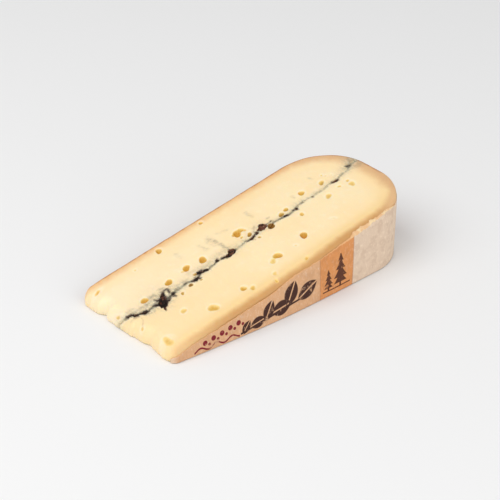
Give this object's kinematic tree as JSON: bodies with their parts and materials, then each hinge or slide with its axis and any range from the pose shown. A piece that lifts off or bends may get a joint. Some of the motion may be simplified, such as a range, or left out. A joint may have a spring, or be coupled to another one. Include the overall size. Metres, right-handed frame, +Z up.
{
  "type": "morbier cheese wedge",
  "caption": "Wedge of semi-hard ash-lined cheese lying on a cut face, with rounded rind edges, small eyes, a broken tip and a paper label on one side.",
  "frame": {"origin": "on the supporting surface, below the middle of the wedge's box", "axes": "+X from the broken tip to the heel at the wheel's rim, +Y across the wheel's height away from the label side, +Z up"},
  "size_m": [0.1365, 0.064, 0.0317],
  "materials": {
    "paste": "soft ivory-yellow paste, slightly moist, with a tan rind at the rim and the wheel's flat faces",
    "ash": "dry dark grey vegetable ash",
    "label_paper": "uncoated kraft paper, printed with a leafy sprig, berries, two firs and an orange band"
  },
  "bodies": {
    "root": {"paste_label_side": "paste", "paste_far_side": "paste", "ash_layer": "ash", "paper_label": "label_paper"}
  },
  "joints": []
}
